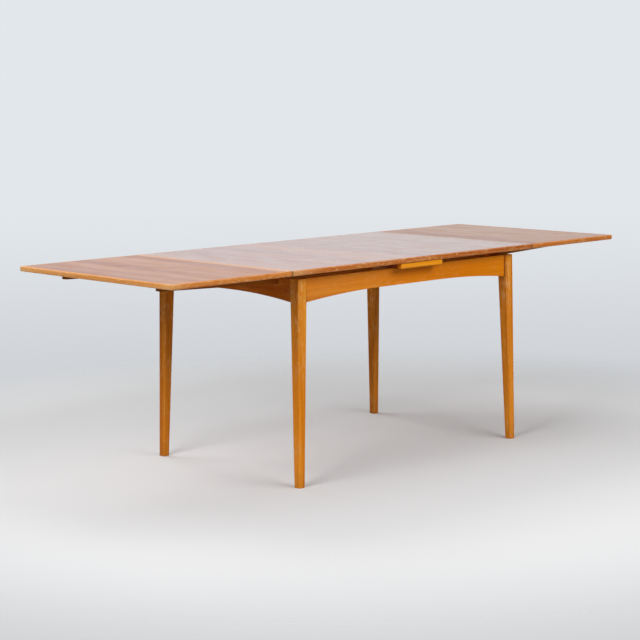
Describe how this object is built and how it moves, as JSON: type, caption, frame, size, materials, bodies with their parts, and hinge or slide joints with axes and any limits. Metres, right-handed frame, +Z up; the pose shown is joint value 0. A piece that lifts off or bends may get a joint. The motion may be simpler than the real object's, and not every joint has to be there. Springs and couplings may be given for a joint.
{
  "type": "draw leaf table",
  "caption": "Wooden dining table with tapered legs, arched aprons and a draw leaf at each end, drawn out level with the main top on inclined sliding bearers.",
  "frame": {"origin": "on the floor under the middle of the table", "axes": "+X along the table to the right leaf, +Y to the back, +Z up"},
  "size_m": [2.222, 0.8, 0.73],
  "materials": {
    "top_veneer": "satin varnished veneer, grain across the table",
    "edge_lipping": "varnished hardwood, worn along the arrises",
    "frame_wood": "honey coloured varnish over beech",
    "bar_wood": "pale varnished beech",
    "loper_wood": "bare beech, rubbed smooth",
    "inner_wood": "unfinished softwood and beech",
    "centre_board_wood": "stained board",
    "steel": "plain wood screws and pins"
  },
  "bodies": {
    "frame": {"front_left_leg": "frame_wood", "front_right_leg": "frame_wood", "back_left_leg": "frame_wood", "back_right_leg": "frame_wood", "front_apron": "frame_wood", "back_apron": "frame_wood", "left_apron": "frame_wood", "right_apron": "frame_wood", "front_left_corner_block": "inner_wood", "front_right_corner_block": "inner_wood", "back_left_corner_block": "inner_wood", "back_right_corner_block": "inner_wood", "left_cross_rail": "inner_wood", "right_cross_rail": "inner_wood", "centre_board": "centre_board_wood", "front_centre_bar": "bar_wood", "back_centre_bar": "bar_wood", "centre_board_screws": "steel"},
    "main_top": {"main_panel": "top_veneer", "main_front_lipping": "edge_lipping", "main_back_lipping": "edge_lipping", "main_left_lipping": "edge_lipping", "main_right_lipping": "edge_lipping", "front_guide_peg": "inner_wood", "back_guide_peg": "inner_wood", "peg_retaining_pins": "steel"},
    "left_leaf": {"left_leaf_panel": "top_veneer", "left_leaf_front_lipping": "edge_lipping", "left_leaf_back_lipping": "edge_lipping", "left_leaf_outer_lipping": "edge_lipping", "left_leaf_inner_lipping": "edge_lipping", "left_leaf_front_loper": "loper_wood", "left_leaf_back_loper": "loper_wood", "left_loper_screws": "steel", "left_stop_dowels": "inner_wood"},
    "right_leaf": {"right_leaf_panel": "top_veneer", "right_leaf_front_lipping": "edge_lipping", "right_leaf_back_lipping": "edge_lipping", "right_leaf_outer_lipping": "edge_lipping", "right_leaf_inner_lipping": "edge_lipping", "right_leaf_front_loper": "loper_wood", "right_leaf_back_loper": "loper_wood", "right_loper_screws": "steel", "right_stop_dowels": "inner_wood"}
  },
  "joints": [
    {"name": "top_lift", "type": "slide", "parent": "frame", "child": "main_top", "axis": [0, 0, 1], "range_m": [0, 0.026]},
    {"name": "left_leaf_draw", "type": "slide", "parent": "frame", "child": "left_leaf", "axis": [-0.9993, 0, 0.0362], "range_m": [0, 0.008]},
    {"name": "right_leaf_draw", "type": "slide", "parent": "frame", "child": "right_leaf", "axis": [0.9993, 0, 0.0362], "range_m": [0, 0.008]}
  ]
}
